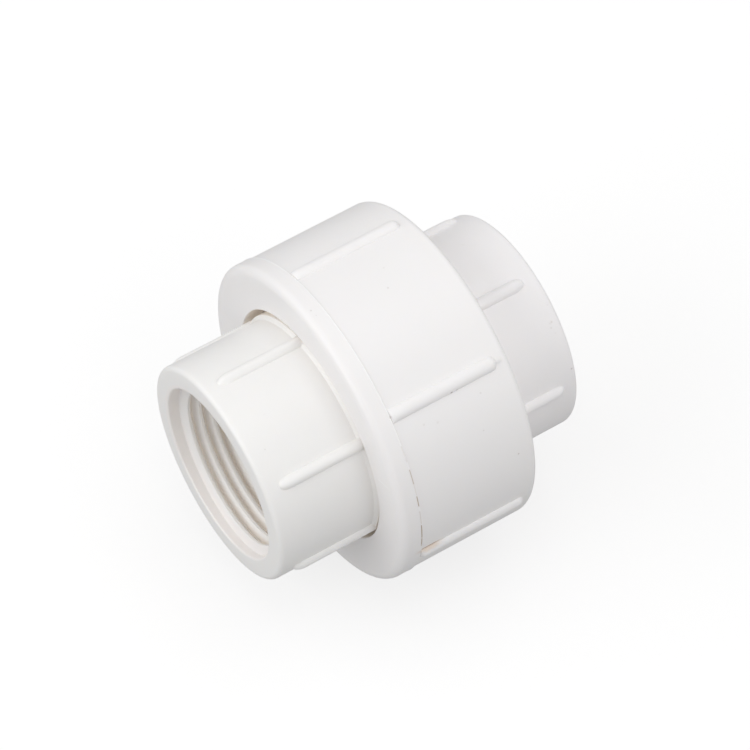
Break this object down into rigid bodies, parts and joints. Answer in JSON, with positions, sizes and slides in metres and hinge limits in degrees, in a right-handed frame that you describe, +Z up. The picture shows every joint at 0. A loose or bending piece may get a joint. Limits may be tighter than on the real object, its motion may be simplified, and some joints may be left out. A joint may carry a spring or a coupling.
{
  "type": "pipe union fitting",
  "caption": "White moulded plastic pipe union: ribbed sockets with internal pipe threads at both ends, drawn together by a large ribbed ring nut over an O-ring seal.",
  "frame": {"origin": "on the pipe axis, halfway between the two end faces", "axes": "+X along the pipe axis from the tailpiece to the union body, +Z up as the fitting lies on its side, the nut's barrel on the floor"},
  "size_m": [0.063, 0.0634, 0.0622],
  "materials": {
    "socket_plastic": "satin moulded uPVC, slightly warm white",
    "nut_plastic": "satin moulded uPVC, neutral white",
    "seal_rubber": "matte black moulded rubber"
  },
  "bodies": {
    "union_body": {"union_body": "socket_plastic", "o_ring": "seal_rubber"},
    "tailpiece": {"tailpiece": "socket_plastic"},
    "union_nut": {"union_nut": "nut_plastic"}
  },
  "joints": [
    {"name": "tailpiece_slide", "type": "slide", "parent": "union_body", "child": "tailpiece", "axis": [-1, 0, 0], "range_m": [0, 0.0135]},
    {"name": "nut_turn", "type": "hinge", "parent": "tailpiece", "child": "union_nut", "pos_m": [0, 0, 0], "axis": [-1, 0, 0], "range_deg": [0, 1620]}
  ],
  "couplings": [
    {"joint": "tailpiece_slide", "follows": "nut_turn", "m_per_rad": 0.00047746}
  ]
}
